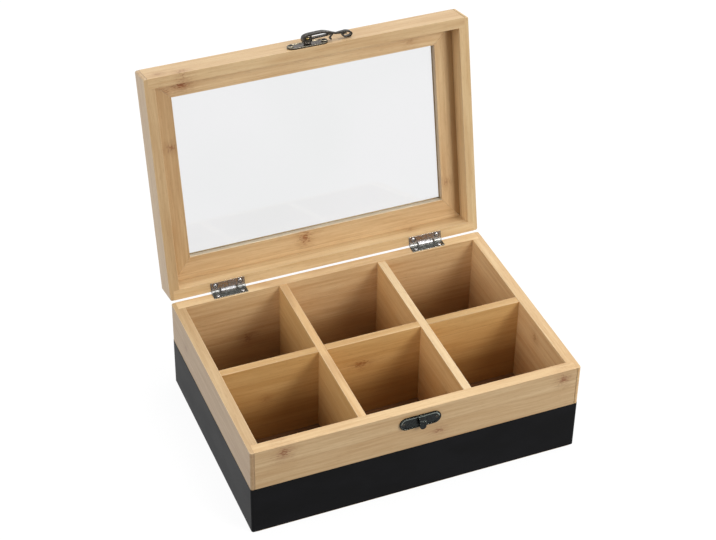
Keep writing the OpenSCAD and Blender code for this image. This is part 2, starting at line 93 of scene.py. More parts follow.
def lengthOf(tree, first, second):
    squares = calc(tree, "MULTIPLY_ADD", first, first, calc(tree, "MULTIPLY", second, second))
    return calc(tree, "POWER", squares, 0.5)


def remap(tree, value, low, high, toLow=0.0, toHigh=1.0, smooth=True):
    node = addNode(tree, "ShaderNodeMapRange", {0: value, 1: low, 2: high, 3: toLow, 4: toHigh})
    node.interpolation_type = "SMOOTHSTEP" if smooth else "LINEAR"
    return node.outputs[0]


def mixTint(tree, factor, first, second, mode="MIX"):
    node = addNode(tree, "ShaderNodeMix", data_type="RGBA", blend_type=mode)
    for index, value in ((0, factor), (6, first), (7, second)):
        if isinstance(value, bpy.types.NodeSocket):
            tree.links.new(value, node.inputs[index])
        else:
            node.inputs[index].default_value = value
    return node.outputs[2]


def noiseAt(tree, place, stretch, detail=2.0, roughness=0.5, shift=None):
    # noise with its own stretch along x, y and z of the place that it is given, in millimetres
    vector = addNode(tree, "ShaderNodeVectorMath", {0: place, 1: stretch}, operation="MULTIPLY").outputs[0]
    if shift is not None:
        vector = addNode(tree, "ShaderNodeVectorMath", {0: vector, 1: shift}, operation="ADD").outputs[0]
    look = {"Vector": vector, "Scale": 1.0, "Detail": detail, "Roughness": roughness}
    return addNode(tree, "ShaderNodeTexNoise", look).outputs[0]


def newGroup(name, given, gives):
    group = bpy.data.node_groups.new(name, "ShaderNodeTree")
    for label, kind, value in given:
        socket = group.interface.new_socket(label, in_out="INPUT", socket_type=kind)
        socket.default_value = value
    for label, kind in gives:
        group.interface.new_socket(label, in_out="OUTPUT", socket_type=kind)
    return group, group.nodes.new("NodeGroupInput").outputs, group.nodes.new("NodeGroupOutput")


def giveOut(tree, gives, **values):
    for label, value in values.items():
        tree.links.new(value, gives.inputs[label])


def newMaterial(name):
    material = bpy.data.materials.new(name)
    material.use_nodes = True
    tree = material.node_tree
    tree.nodes.clear()
    output = tree.nodes.new("ShaderNodeOutputMaterial")
    return material, tree, output


shot = {"place": (-0.4015, -0.92814, 0.90782), "heading": 22.795, "tilt": 37.646, "roll": 1.072,
        "lens": 94.696, "shift": (-0.0008, 0.0005)}
heading, tilt, roll = (math.radians(shot[key]) for key in ("heading", "tilt", "roll"))
ahead = Vector((math.sin(heading) * math.cos(tilt), math.cos(heading) * math.cos(tilt), -math.sin(tilt)))
level = Vector((math.cos(heading), -math.sin(heading), 0))
upward = level.cross(ahead)
across = level * math.cos(roll) + upward * math.sin(roll)
upright = upward * math.cos(roll) - level * math.sin(roll)
camera = bpy.data.objects.new("camera", bpy.data.cameras.new("camera"))
camera.data.lens = shot["lens"]
camera.data.shift_x, camera.data.shift_y = shot["shift"]
camera.data.sensor_width = 36
camera.data.sensor_fit = "HORIZONTAL"
turned = Matrix((across, upright, -ahead)).transposed().to_4x4()
camera.matrix_world = Matrix.Translation(shot["place"]) @ turned
scene.collection.objects.link(camera)
scene.camera = camera
print("Camera placed")


def makeBambooGrain():
    # laminated bamboo in board coordinates: x runs along the grain, y across the strips, z into the board
    tree, given, gives = newGroup("Bamboo Grain", [
        ("Board", "NodeSocketVector", (0, 0, 0)),
        ("Seed", "NodeSocketFloat", 0.0),
        ("Pale", "NodeSocketColor", tint(228, 199, 157)),
        ("Deep", "NodeSocketColor", tint(196, 155, 110)),
        ("Strip Width", "NodeSocketFloat", 20.0),
        ("Strip Contrast", "NodeSocketFloat", 0.14),
        ("Streaks", "NodeSocketFloat", 1.0),
        ("Knuckles", "NodeSocketFloat", 0.0),
        ("End Grain", "NodeSocketFloat", 0.0),
        ("Arris", "NodeSocketFloat", 0.0),
        ("Rim", "NodeSocketFloat", 0.0),
        ("Rim Tone And Light", "NodeSocketColor", (1, 1, 1, 1)),
        ("Inner", "NodeSocketFloat", 0.0),
        ("Inner Painted Light", "NodeSocketColor", (1, 1, 1, 1)),
        ("Painted Shade", "NodeSocketFloat", 0.0),
        ("Painted Shade From", "NodeSocketFloat", 52.0),
        ("Painted Shade To", "NodeSocketFloat", 8.0),
    ], [("Color", "NodeSocketColor"), ("Roughness", "NodeSocketFloat"), ("Height", "NodeSocketFloat")])
    mm = inMillimetres(tree, given["Board"])
    drift = noiseAt(tree, mm, (0.008, 0.02, 0.02))
    axes = addNode(tree, "ShaderNodeSeparateXYZ", {0: mm}).outputs
    wander = calc(tree, "MULTIPLY", calc(tree, "SUBTRACT", drift, 0.5), 4.0)
    acrossGrain = calc(tree, "ADD", axes["Y"], wander)
    # strips, each with its own tone
    shifted = calc(tree, "ADD", acrossGrain, calc(tree, "MULTIPLY", given["Seed"], 3.7))
    inStrips = calc(tree, "DIVIDE", shifted, given["Strip Width"])
    number = calc(tree, "FLOOR", inStrips)
    chance = {"W": calc(tree, "ADD", number, given["Seed"])}
    own = addNode(tree, "ShaderNodeTexWhiteNoise", chance, noise_dimensions="1D").outputs["Value"]
    fromJoint = calc(tree, "PINGPONG", inStrips, 0.5)
    joint = remap(tree, calc(tree, "MULTIPLY", fromJoint, given["Strip Width"]), 0.05, 0.28, 1.0, 0.0)
    # streaks and fibres
    bent = addNode(tree, "ShaderNodeCombineXYZ", {0: axes["X"], 1: acrossGrain, 2: axes["Z"]}).outputs[0]
    jump = calc(tree, "MULTIPLY", own, 40.0)
    apart = addNode(tree, "ShaderNodeCombineXYZ", {0: jump, 1: given["Seed"], 2: number}).outputs[0]
    broad = noiseAt(tree, bent, (0.012, 0.16, 0.16), 2.0, 0.5, apart)
    medium = noiseAt(tree, bent, (0.022, 0.55, 0.55), 3.0, 0.55, apart)
    fibres = noiseAt(tree, bent, (0.05, 3.2, 3.2), 3.0, 0.65, apart)
    dashes = remap(tree, noiseAt(tree, bent, (0.16, 4.5, 4.5), 1.0, 0.5, apart), 0.60, 0.74)
    tone = calc(tree, "MULTIPLY", calc(tree, "SUBTRACT", own, 0.5), given["Strip Contrast"])
    for streak, strength in ((broad, 0.9), (medium, 1.3), (fibres, 0.5)):
        part = calc(tree, "MULTIPLY", calc(tree, "SUBTRACT", streak, 0.5), strength)
        tone = calc(tree, "MULTIPLY_ADD", part, given["Streaks"], tone)
    tone = calc(tree, "ADD", tone, 0.45, clamp=True)
    color = mixTint(tree, tone, given["Pale"], given["Deep"])
    dark = mixTint(tree, 1.0, given["Deep"], tint(196, 166, 130), "MULTIPLY")
    color = mixTint(tree, calc(tree, "MULTIPLY", dashes, 0.35), color, dark)
    color = mixTint(tree, calc(tree, "MULTIPLY", joint, 0.3), color, dark)
    burnt = mixTint(tree, 1.0, given["Deep"], tint(188, 142, 100), "MULTIPLY")
    color = mixTint(tree, given["Knuckles"], color, burnt)
    # end grain is darker and full of small pores
    pores = remap(tree, noiseAt(tree, bent, (0.5, 2.6, 2.6), 1.0), 0.50, 0.66)
    endTint = mixTint(tree, pores, given["Deep"], dark)
    color = mixTint(tree, calc(tree, "MULTIPLY", given["End Grain"], 0.2), color, endTint)
    # rounded edges are painted paler: a painted highlight along them
    color = mixTint(tree, calc(tree, "MULTIPLY", given["Arris"], 0.30), color, tint(240, 214, 172))
    # inner faces take a painted light of their own, which makes the reveal of the window's back member paler,
    # and a painted shade that darkens them towards the bottom of the box, into the depth of the lid and
    # beside the lid's right rail
    color = mixTint(tree, given["Inner"], color, given["Inner Painted Light"], "MULTIPLY")
    # painted shade, growing along the board's cross direction
    deep = remap(tree, axes["Y"], given["Painted Shade From"], given["Painted Shade To"])
    deep = calc(tree, "MULTIPLY", deep, calc(tree, "MULTIPLY", given["Inner"], given["Painted Shade"]))
    color = mixTint(tree, deep, color, tint(196, 180, 156), "MULTIPLY")
    # faces that look up or down take their own tone: partly the bamboo's own, partly painted light and shade
    # for how the lamps fall on them
    color = mixTint(tree, given["Rim"], color, given["Rim Tone And Light"], "MULTIPLY")
    rough = calc(tree, "MULTIPLY_ADD", fibres, 0.22, 0.40)
    rough = calc(tree, "MULTIPLY_ADD", given["End Grain"], 0.12, rough)
    height = calc(tree, "MULTIPLY_ADD", fibres, 0.7, calc(tree, "MULTIPLY", medium, 0.5))
    height = calc(tree, "SUBTRACT", height, calc(tree, "MULTIPLY", joint, 0.5))
    height = calc(tree, "SUBTRACT", height, calc(tree, "MULTIPLY", dashes, 0.3))
    giveOut(tree, gives, Color=color, Roughness=rough, Height=height)
    return tree


def makeKnuckle():
    # the mark that a joint of the cane leaves across a strip, at a place in millimetres
    tree, given, gives = newGroup("Bamboo Knuckle", [
        ("Board", "NodeSocketVector", (0, 0, 0)),
        ("Place", "NodeSocketVector", (0, 0, 0)),
        ("Length", "NodeSocketFloat", 9.0),
        ("Width", "NodeSocketFloat", 7.0),
        ("Strength", "NodeSocketFloat", 0.8),
    ], [("Mark", "NodeSocketFloat")])
    mm = inMillimetres(tree, given["Board"])
    away = addNode(tree, "ShaderNodeVectorMath", {0: mm, 1: given["Place"]}, operation="SUBTRACT").outputs[0]
    axes = addNode(tree, "ShaderNodeSeparateXYZ", {0: away}).outputs
    ragged = calc(tree, "SUBTRACT", noiseAt(tree, mm, (0.45, 1.1, 1.1), 3.0, 0.65), 0.5)
    along = calc(tree, "DIVIDE", axes["X"], given["Length"])
    over = calc(tree, "DIVIDE", axes["Y"], given["Width"])
    reach = lengthOf(tree, along, over)
    core = remap(tree, calc(tree, "MULTIPLY_ADD", ragged, 1.9, reach), 0.0, 0.55, 1.0, 0.0)
    streaked = remap(tree, noiseAt(tree, mm, (0.06, 0.9, 0.9), 2.0), 0.38, 0.64, 0.25, 1.0)
    wide = calc(tree, "ADD", ragged, calc(tree, "MULTIPLY", reach, 0.6))
    halo = remap(tree, wide, 0.05, 0.85, 1.0, 0.0)
    mark = calc(tree, "MAXIMUM", core, calc(tree, "MULTIPLY", calc(tree, "MULTIPLY", halo, streaked), 0.55))
    mark = calc(tree, "MULTIPLY", mark, given["Strength"], clamp=True)
    giveOut(tree, gives, Mark=mark)
    return tree


def makeMetalWear():
    # a plated or browned skin, rubbed bright where it stands proud and dull in the mottles; painted
    # highlights join the rubbed edges, and painted shadow marks take the mottles' dark colour
    tree, given, gives = newGroup("Metal Wear And Painted Light", [
        ("Place", "NodeSocketVector", (0, 0, 0)),
        ("Skin", "NodeSocketColor", tint(120, 118, 112)),
        ("Darkening", "NodeSocketColor", tint(52, 48, 44)),
        ("Bare", "NodeSocketColor", tint(190, 184, 172)),
        ("Rubbed And Highlit", "NodeSocketFloat", 0.0),
        ("Shadow Marks", "NodeSocketFloat", 0.0),
        ("Mottle", "NodeSocketFloat", 0.5),
        ("Gloss", "NodeSocketFloat", 0.3),
    ], [("Color", "NodeSocketColor"), ("Roughness", "NodeSocketFloat"), ("Height", "NodeSocketFloat")])
    mm = inMillimetres(tree, given["Place"])
    clouds = noiseAt(tree, mm, (0.7, 0.7, 0.7), 4.0, 0.6)
    pits = noiseAt(tree, mm, (4.0, 4.0, 4.0), 2.0, 0.5)
    dullAndShaded = calc(tree, "MULTIPLY", remap(tree, clouds, 0.42, 0.66), given["Mottle"])
    # painted shade marks darken like the mottles
    shadowMarks = calc(tree, "MULTIPLY", given["Shadow Marks"], calc(tree, "MULTIPLY_ADD", clouds, 0.5, 0.65))
    dullAndShaded = calc(tree, "MAXIMUM", dullAndShaded, shadowMarks)
    color = mixTint(tree, dullAndShaded, given["Skin"], given["Darkening"])
    uneven = calc(tree, "MULTIPLY", calc(tree, "SUBTRACT", clouds, 0.5), 0.9)
    ragged = calc(tree, "ADD", given["Rubbed And Highlit"], uneven)
    proud = calc(tree, "MINIMUM", given["Rubbed And Highlit"], 1.0)
    bright = calc(tree, "MULTIPLY", remap(tree, ragged, 0.35, 0.85), proud)
    color = mixTint(tree, bright, color, given["Bare"])
    rough = calc(tree, "MULTIPLY_ADD", dullAndShaded, 0.25, given["Gloss"])
    rough = calc(tree, "MULTIPLY_ADD", pits, 0.10, rough)
    height = calc(tree, "MULTIPLY_ADD", pits, 0.4, clouds)
    giveOut(tree, gives, Color=color, Roughness=rough, Height=height)
    return tree


bambooGrain = makeBambooGrain()
knuckleMark = makeKnuckle()
metalWearAndLight = makeMetalWear()
print("Shader groups made")


hinge = next(joint for joint in frame["joints"] if joint["name"] == "lid_hinge")
openAngle = math.radians(max(hinge["range_deg"]))
pin = Matrix.Translation(hinge["pos_m"])
shutLid = pin @ Matrix.Rotation(openAngle, 4, "X") @ pin.inverted()   # from the open lid to the closed one
bodyOf = {obj.name: obj["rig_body"] for obj in frame["nodes"].values()}
directions = {"x": Vector((1, 0, 0)), "y": Vector((0, 1, 0)), "z": Vector((0, 0, 1))}


# corners nearer than merge are one, and faces that differ by less than flat degrees are one
mending = {"merge": 2e-6, "flat": 0.6}
# an edge bent further in than hollow isn't rounded, nor one that the mesh passes by more than proud
rounding = {"hollow": -0.3, "proud": 2e-5, "sleek": 45}


def closedPlace(body):
    return Matrix.Identity(4) if body == "box" else shutLid


def cleanCopy(node):
    # one whole, untriangulated mesh of a node
    bm = bmesh.new()
    bm.from_mesh(frame["nodes"][node].data)
    bmesh.ops.remove_doubles(bm, verts=bm.verts, dist=mending["merge"])
    bmesh.ops.dissolve_limit(bm, angle_limit=math.radians(mending["flat"]), verts=bm.verts, edges=bm.edges)
    bmesh.ops.recalc_face_normals(bm, faces=bm.faces)
    return bm


def outwardEdges(bm, sharpest):
    # edges that stick out and can be rounded: the rest of the mesh lies behind a plane through them
    corners = [v.co.copy() for v in bm.verts]
    inner = {v for e in bm.edges if e.calc_face_angle_signed(0) < rounding["hollow"] for v in e.verts}
    chosen = []
    for edge in bm.edges:
        if len(edge.link_faces) != 2 or edge.calc_face_angle(0) < sharpest or not edge.is_convex:
            continue
        if inner.intersection(edge.verts):
            continue
        outward = edge.link_faces[0].normal + edge.link_faces[1].normal
        middle = (edge.verts[0].co + edge.verts[1].co) / 2
        if all((corner - middle).dot(outward) < rounding["proud"] for corner in corners):
            chosen.append(edge)
    return chosen


def convexEdges(bm, sharpest):
    pairs = (edge for edge in bm.edges if len(edge.link_faces) == 2)
    return [edge for edge in pairs if edge.is_convex and edge.calc_face_angle(0) > sharpest]


def roundedPiece(name, node, width, seams=None, seamShare=0.3, steps=2, hull=True, sharpest=40):
    # a copy of a node with its edges rounded, the seams to neighbours less than the rest
    body = bodyOf[node]
    bm = cleanCopy(node)
    weights = bm.edges.layers.float.new("bevel_weight_edge")
    toClosed = closedPlace(body)
    chooseEdges = outwardEdges if hull else convexEdges
    for edge in chooseEdges(bm, math.radians(sharpest)):
        ends = [toClosed @ vert.co for vert in edge.verts]
        edge[weights] = seamShare if seams and seams(*ends) else 1.0
    mesh = bpy.data.meshes.new(name)
    bm.to_mesh(mesh)
    bm.free()
    mesh.materials.clear()
    mesh.materials.append(None)   # an empty slot for the flats
    mesh.materials.append(None)   # and one for the rounded edges
    for face in mesh.polygons:
        face.material_index = 0
    piece = bpy.data.objects.new(name, mesh)
    scene.collection.objects.link(piece)
    bevel = piece.modifiers.new("rounding", "BEVEL")
    bevel.limit_method = "WEIGHT"
    bevel.width = width
    bevel.segments = steps
    bevel.use_clamp_overlap = True
    bevel.miter_outer = "MITER_SHARP"
    bevel.material = 1
    whole = bpy.data.meshes.new_from_object(piece.evaluated_get(bpy.context.evaluated_depsgraph_get()))
    piece.modifiers.clear()
    piece.data = whole
    whole.name = name
    bpy.data.meshes.remove(mesh)
    rounded = whole.attributes.new("rounded", "FLOAT", "FACE")
    for index, face in enumerate(whole.polygons):
        rounded.data[index].value = face.material_index
        face.material_index = 0
    whole.materials.clear()
    whole.shade_smooth()
    whole.set_sharp_from_angle(angle=math.radians(rounding["sleek"]))
    even = piece.modifiers.new("even shading", "WEIGHTED_NORMAL")
    even.keep_sharp = True
    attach(piece, body)
    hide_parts(node)
    return piece


def bambooMaterial(name, board):
    material, tree, output = newMaterial(name)
    place = addNode(tree, "ShaderNodeAttribute", attribute_name="boardPos").outputs["Vector"]
    grain = addNode(tree, "ShaderNodeGroup", node_tree=bambooGrain)
    tree.links.new(place, grain.inputs["Board"])
    for label, mask in (("End Grain", "endGrain"), ("Arris", "rounded"), ("Rim", "rim"), ("Inner", "inner")):
        share = addNode(tree, "ShaderNodeAttribute", attribute_name=mask).outputs["Fac"]
        tree.links.new(share, grain.inputs[label])
    marks = None
    for along, acrossBoard, length, width, strength in board.get("knuckles", []):
        mark = addNode(tree, "ShaderNodeGroup", node_tree=knuckleMark)
        tree.links.new(place, mark.inputs["Board"])
        given = {"Place": (along, acrossBoard, 0), "Length": length, "Width": width, "Strength": strength}
        for label, value in given.items():
            mark.inputs[label].default_value = value
        marks = mark.outputs["Mark"] if marks is None else calc(tree, "MAXIMUM", marks, mark.outputs["Mark"])
    if marks is not None:
        tree.links.new(marks, grain.inputs["Knuckles"])
    for label, key in (("Seed", "seed"), ("Pale", "pale"), ("Deep", "deep"), ("Strip Width", "strips"),
                       ("Streaks", "streaks"), ("Rim Tone And Light", "rimToneAndLight"), ("Inner Painted Light", "innerPaintedLight"),
                       ("Painted Shade", "paintedShade"), ("Painted Shade From", "paintedShadeFrom"), ("Painted Shade To", "paintedShadeTo")):
        if key in board:
            grain.inputs[label].default_value = board[key]
    relief = {"Strength": 0.35, "Distance": 0.00012, "Height": grain.outputs["Height"]}
    bump = addNode(tree, "ShaderNodeBump", relief)
    wood = addNode(tree, "ShaderNodeBsdfPrincipled", {
        "Base Color": grain.outputs["Color"], "Roughness": grain.outputs["Roughness"],
        "Normal": bump.outputs[0], "IOR": 1.44, "Coat Weight": 0.35, "Coat Roughness": 0.35})
    tree.links.new(wood.outputs[0], output.inputs[0])
    return material


boardRound = 0.00045
lipPlace = 0.117
dividersWithin = 0.06   # a divider's own middle is nearer than this to the box's middle


def makeBoard(name, board):
    seamShare = 0.0 if board["along"] == "y" else 0.3   # the side boards' lips stay square at the joint
    width = board.get("round", boardRound)
    piece = roundedPiece(name, board["node"], width, board.get("seams"), seamShare)
    mesh = piece.data
    toClosed = closedPlace(bodyOf[board["node"]])
    alongBoard, acrossBoard = directions[board["along"]], directions[board["across"]]
    through = alongBoard.cross(acrossBoard)
    place = mesh.attributes.new("boardPos", "FLOAT_VECTOR", "POINT")
    for index, vert in enumerate(mesh.vertices):
        spot = toClosed @ vert.co
        place.data[index].vector = (spot.dot(alongBoard), spot.dot(acrossBoard), spot.dot(through))
    # masks for the ends, for the faces that look up or down, and for those that look inward
    for mask in ("endGrain", "rim", "inner"):
        mesh.attributes.new(mask, "FLOAT", "FACE")
    masks = {mask: mesh.attributes[mask].data for mask in ("endGrain", "rim", "inner")}
    middle = toClosed @ (sum((vert.co for vert in mesh.vertices), Vector()) / len(mesh.vertices))
    isDivider = middle.xy.length < dividersWithin
    for index, face in enumerate(mesh.polygons):
        facing = toClosed.to_3x3() @ face.normal
        inward = isDivider or facing.xy.dot(middle.xy) < -0.05
        masks["endGrain"][index].value = abs(facing.dot(alongBoard)) > 0.8
        masks["rim"][index].value = abs(facing.z) > 0.6
        masks["inner"][index].value = facing.z < -0.6 if board.get("underside") else inward
    piece.data.materials.append(bambooMaterial(name + " bamboo", board))
    return piece


def atLip(*ends):
    # the joints between the side boards' lips and the front and back boards
    return all(abs(abs(end.x) - lipPlace) < 2e-4 for end in ends)


# each board's pale and deep tones are matched to how bright it looks in place: partly the bamboo's own tone,
# partly painted light and shade, darker on the left wall than on the right wall and the dividers
wallPale, wallDeep = tint(228, 198, 151), tint(196, 154, 103)

frontWall = {"node": "front_wall", "along": "x", "across": "z", "slot": "outer_wood", "seams": atLip,
             "seed": 1.0, "pale": tint(216, 186, 141), "deep": tint(186, 146, 97),
             "rimToneAndLight": (1.13, 1.13, 1.12, 1),
             "knuckles": [(-97, 65, 10, 9, 0.9), (107, 64, 8, 9, 0.95), (14, 48, 9, 6, 0.8)]}
makeBoard("frontWall", frontWall)

backWall = {"node": "back_wall", "along": "x", "across": "z", "slot": "outer_wood", "seams": atLip,
            "round": 0.00016, "seed": 2.4, "pale": tint(235, 203, 154), "deep": tint(204, 159, 106),
            "rimToneAndLight": (1.071, 1.154, 1.269, 1), "paintedShade": 1.2,
            "knuckles": [(38, 52, 8, 9, 0.7), (-66, 30, 8, 9, 0.7)]}
makeBoard("backWall", backWall)

leftWall = {"node": "left_wall", "along": "y", "across": "z", "slot": "outer_wood", "seams": atLip,
            "seed": 3.1, "pale": tint(192, 164, 125), "deep": tint(164, 128, 87),
            "rimToneAndLight": (1.245, 1.269, 1.256, 1), "knuckles": [(52, 55, 7, 8, 0.5)]}
makeBoard("leftWall", leftWall)

rightWall = {"node": "right_wall", "along": "y", "across": "z", "slot": "outer_wood", "seams": atLip,
             "seed": 4.6, "pale": tint(244, 213, 163), "deep": tint(214, 168, 111),
             "rimToneAndLight": (0.85, 0.85, 0.86, 1), "paintedShade": 0.3, "knuckles": [(-30, 58, 7, 8, 0.6)]}
makeBoard("rightWall", rightWall)

bottomPanel = {"node": "bottom_panel", "along": "x", "across": "y", "slot": "inner_wood", "round": 0.00025,
               "seed": 5.2, "pale": tint(136, 96, 58), "deep": tint(104, 70, 40),
               "knuckles": [(70, -40, 8, 9, 0.7), (-80, 30, 8, 9, 0.6)]}
makeBoard("bottomPanel", bottomPanel)

longDivider = {"node": "long_divider", "along": "x", "across": "z", "slot": "inner_wood", "seed": 6.3,
               "streaks": 0.7, "pale": tint(227, 188, 126), "deep": tint(192, 140, 73),
               "rimToneAndLight": (0.882, 0.903, 0.997, 1), "paintedShade": 1.55,
               "knuckles": [(-10, 50, 15, 6, 0.8), (-80, 40, 7, 6, 0.4)]}
makeBoard("longDivider", longDivider)

leftCrossDivider = {"node": "left_cross_divider", "along": "y", "across": "z", "slot": "inner_wood",
                    "seed": 7.9, "streaks": 0.7, "pale": tint(240, 203, 142), "deep": tint(208, 157, 88),
                    "rimToneAndLight": (0.95, 1.0, 1.2, 1), "paintedShade": 0.5, "knuckles": [(30, 40, 7, 8, 0.5)]}
makeBoard("leftCrossDivider", leftCrossDivider)

rightCrossDivider = {"node": "right_cross_divider", "along": "y", "across": "z", "slot": "inner_wood",
                     "seed": 8.5, "streaks": 0.7, "pale": tint(242, 204, 146), "deep": tint(208, 156, 90),
                     "rimToneAndLight": (0.97, 1.12, 1.45, 1), "paintedShade": 0.5, "knuckles": [(-50, 45, 7, 8, 0.5)]}
makeBoard("rightCrossDivider", rightCrossDivider)
print("Box boards made")

lidFrontRail = {"node": "lid_front_rail", "along": "x", "across": "z", "slot": "outer_wood", "seams": atLip,
                "seed": 9.7, "pale": wallPale, "deep": wallDeep, "rimToneAndLight": (0.93, 0.93, 0.92, 1),
                "knuckles": [(-93, 76, 9, 7, 0.7), (-108, 80, 7, 6, 0.6)]}
makeBoard("lidFrontRail", lidFrontRail)

lidBackRail = {"node": "lid_back_rail", "along": "x", "across": "z", "slot": "outer_wood", "seams": atLip,
               "round": 0.00016, "seed": 10.2, "pale": tint(240, 214, 170), "deep": tint(211, 173, 119),
               "rimToneAndLight": (0.9, 0.86, 0.8, 1), "paintedShade": 0.3, "paintedShadeFrom": 78.0, "paintedShadeTo": 85.0,
               "knuckles": [(70, 84, 7, 6, 0.5)]}
makeBoard("lidBackRail", lidBackRail)

lidLeftRail = {"node": "lid_left_rail", "along": "y", "across": "z", "slot": "outer_wood", "seams": atLip,
               "seed": 11.4, "pale": tint(222, 196, 157), "deep": tint(190, 153, 109),
               "rimToneAndLight": (0.92, 0.87, 0.76, 1)}
makeBoard("lidLeftRail", lidLeftRail)

lidRightRail = {"node": "lid_right_rail", "along": "y", "across": "z", "slot": "outer_wood", "seams": atLip,
                "seed": 12.8, "pale": tint(240, 211, 163), "deep": tint(210, 168, 114),
                "rimToneAndLight": (0.86, 0.85, 0.81, 1), "paintedShade": 0.6, "paintedShadeFrom": 81.0, "paintedShadeTo": 88.0}
makeBoard("lidRightRail", lidRightRail)

windowFrontMember = {"node": "window_front_member", "along": "x", "across": "y", "slot": "frame_wood",
                     "round": 0.0003, "seed": 13.3, "strips": 14.0, "pale": tint(236, 207, 160),
                     "deep": tint(204, 163, 111),
                     "knuckles": [(-91, -70, 12, 7, 1.0), (-104, -66, 10, 8, 0.7), (80, -68, 8, 6, 0.4)]}
makeBoard("windowFrontMember", windowFrontMember)

# the reveal behind the pane is painted paler and bluer: a painted light
windowBackMember = {"node": "window_back_member", "along": "x", "across": "y", "slot": "frame_wood",
                    "round": 0.0003, "seed": 14.9, "strips": 16.0, "pale": wallPale, "deep": wallDeep,
                    "innerPaintedLight": (1.25, 1.55, 2.1, 1), "knuckles": [(-11, 65, 9, 10, 0.9)]}
makeBoard("windowBackMember", windowBackMember)

windowLeftMember = {"node": "window_left_member", "along": "y", "across": "x", "slot": "frame_wood",
                    "round": 0.0003, "seed": 15.5, "strips": 14.0, "pale": tint(219, 189, 142),
                    "deep": tint(187, 146, 96), "knuckles": [(-26, -103, 6, 7, 0.8)]}
makeBoard("windowLeftMember", windowLeftMember)

# the face beside the right rail is darkened: a painted shadow of the rail
windowRightMember = {"node": "window_right_member", "along": "y", "across": "x", "slot": "frame_wood",
                     "round": 0.0003, "seed": 16.1, "strips": 14.0, "pale": wallPale, "deep": wallDeep,
                     "underside": True, "paintedShade": 1.7, "paintedShadeFrom": 105.0, "paintedShadeTo": 114.0,
                     "knuckles": [(46, 103, 6, 7, 0.6)]}
makeBoard("windowRightMember", windowRightMember)
print("Lid boards made")


paintBand = {"node": "black_band", "slot": "paint", "color": tint(20, 20, 21), "rubbed": tint(25, 25, 27),
             "round": 0.00005}


def paintMaterial():
    material, tree, output = newMaterial("black satin paint")
    place = addNode(tree, "ShaderNodeTexCoord").outputs["Object"]
    grain = addNode(tree, "ShaderNodeGroup", node_tree=bambooGrain)
    tree.links.new(place, grain.inputs["Board"])
    mm = inMillimetres(tree, place)
    orangePeel = noiseAt(tree, mm, (1.1, 1.1, 1.1), 2.0)
    rubbed = noiseAt(tree, mm, (0.03, 0.03, 0.05), 3.0)
    color = mixTint(tree, remap(tree, rubbed, 0.35, 0.7), paintBand["color"], paintBand["rubbed"])
    rough = remap(tree, rubbed, 0.3, 0.7, 0.40, 0.44)
    underneath = calc(tree, "MULTIPLY", grain.outputs["Height"], 0.25)
    height = calc(tree, "MULTIPLY_ADD", orangePeel, 0.6, underneath)
    bump = addNode(tree, "ShaderNodeBump", {"Strength": 0.25, "Distance": 0.00008, "Height": height})
    paint = addNode(tree, "ShaderNodeBsdfPrincipled", {
        "Base Color": color, "Roughness": rough, "Normal": bump.outputs[0], "IOR": 1.12})
    tree.links.new(paint.outputs[0], output.inputs[0])
    return material


band = roundedPiece("paintBand", paintBand["node"], paintBand["round"], steps=1, hull=False, sharpest=60)
band.data.materials.append(paintMaterial())
print("Paint laid on")


def metalMaterial(name, metal, paintedLight=None, *paintedLightArguments):
    material, tree, output = newMaterial(name)
    place = addNode(tree, "ShaderNodeTexCoord").outputs["Object"]
    rubbed = addNode(tree, "ShaderNodeAttribute", attribute_name="rounded").outputs["Fac"]
    shut = addNode(tree, "ShaderNodeAttribute", attribute_name="shutPos").outputs["Vector"]
    wear = addNode(tree, "ShaderNodeGroup", node_tree=metalWearAndLight)
    tree.links.new(place, wear.inputs["Place"])
    # a piece's painted shade marks and painted highlights, when it has them, join its mottles and rubbed
    # edges
    if paintedLight:
        shadeMask, paintedHighlight = paintedLight(tree, shut, *paintedLightArguments)
        tree.links.new(shadeMask, wear.inputs["Shadow Marks"])
        rubbed = calc(tree, "MAXIMUM", rubbed, paintedHighlight)
    tree.links.new(rubbed, wear.inputs["Rubbed And Highlit"])
    for key in ("skin", "darkening", "bare", "mottle", "gloss"):
        wear.inputs[key.capitalize()].default_value = metal[key]
    relief = {"Strength": metal["relief"], "Distance": 0.0001, "Height": wear.outputs["Height"]}
    bump = addNode(tree, "ShaderNodeBump", relief)
    shader = addNode(tree, "ShaderNodeBsdfPrincipled", {
        "Base Color": wear.outputs["Color"], "Roughness": wear.outputs["Roughness"],
        "Normal": bump.outputs[0], "Metallic": 1.0})
    tree.links.new(shader.outputs[0], output.inputs[0])
    return material


